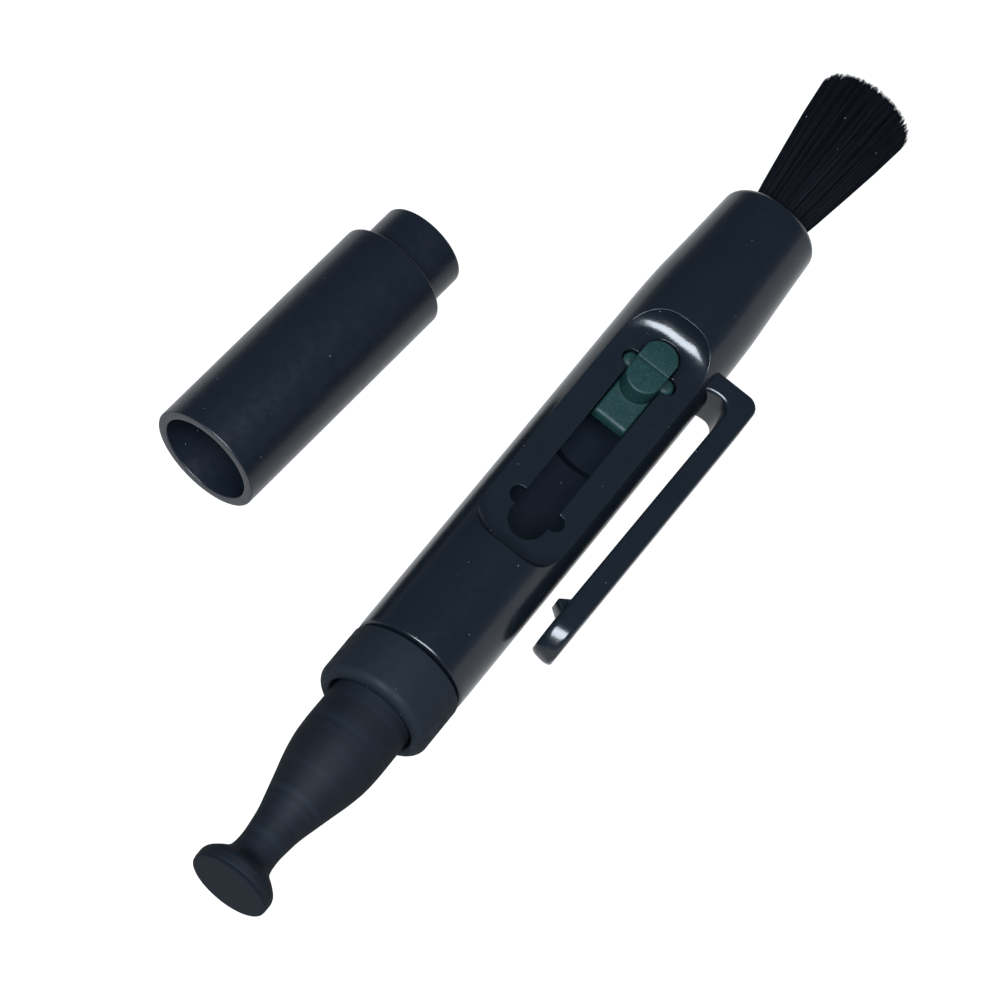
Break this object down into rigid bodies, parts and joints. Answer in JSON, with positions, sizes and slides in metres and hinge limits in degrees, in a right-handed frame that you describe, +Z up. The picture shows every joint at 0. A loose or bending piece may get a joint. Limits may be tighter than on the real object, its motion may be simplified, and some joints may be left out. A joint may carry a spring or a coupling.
{
  "type": "lens cleaning pen",
  "caption": "Pen for cleaning lenses, with a slide-out dusting brush, a flexible neck with a soft round tip, a pocket clip and a pull-off cap that holds the tip's carbon pad.",
  "frame": {"origin": "centre of the footprint of pen and cap on the table, at table height", "axes": "+X along the pen from the soft tip to the brush, +Z up, with the cap lying on the +Y side"},
  "size_m": [0.1264, 0.0538, 0.0141],
  "materials": {
    "gloss_black": "gloss",
    "matte_black": "matte",
    "green": "fine grain",
    "inner_plastic": "matte",
    "soft_rubber": "soft matte",
    "chamois": "suede",
    "foam": "open cell",
    "bristle": "fine hair",
    "ferrule_metal": "satin",
    "carbon": "powdery"
  },
  "bodies": {
    "pen": {"barrel": "gloss_black", "neck_collar": "matte_black", "neck_core": "inner_plastic", "neck_boot": "soft_rubber"},
    "clip": {"pocket_clip": "gloss_black"},
    "brush": {"brush_carriage": "inner_plastic", "brush_ferrule": "ferrule_metal", "bristle_tuft": "bristle"},
    "thumb": {"thumb_slider": "green"},
    "tip": {"tip_disc": "soft_rubber", "tip_foam": "foam", "chamois_pad": "chamois"},
    "cap": {"cap_tube": "gloss_black", "carbon_cup": "gloss_black", "carbon_sponge": "carbon"}
  },
  "joints": [
    {"name": "brush_slide", "type": "slide", "parent": "pen", "child": "brush", "axis": [-1, 0, 0], "range_m": [0, 0.0221], "deforming": ["bristle_tuft"]},
    {"name": "thumb_press", "type": "hinge", "parent": "brush", "child": "thumb", "pos_m": [0.02658, -0.01506, 0.00914], "axis": [0, -0.9511, -0.309], "range_deg": [0, 2.5], "stiffness_Nm_per_rad": 0.8, "springref_deg": -0.57},
    {"name": "clip_flex", "type": "hinge", "parent": "pen", "child": "clip", "pos_m": [0.02028, -0.02218, 0.00452], "axis": [0, -0.309, 0.9511], "range_deg": [0, 4], "stiffness_Nm_per_rad": 1.7},
    {"name": "tip_flex", "type": "hinge", "parent": "pen", "child": "tip", "pos_m": [-0.05833, -0.01438, 0.00705], "axis": [0, 1, 0], "range_deg": [-10, 10], "stiffness_Nm_per_rad": 0.02},
    {"name": "cap_swing", "type": "hinge", "parent": "pen", "child": "cap", "pos_m": [-0.04411, 0.00375, 0.00692], "axis": [0, 0, 1], "range_deg": [0, 184.7]}
  ]
}
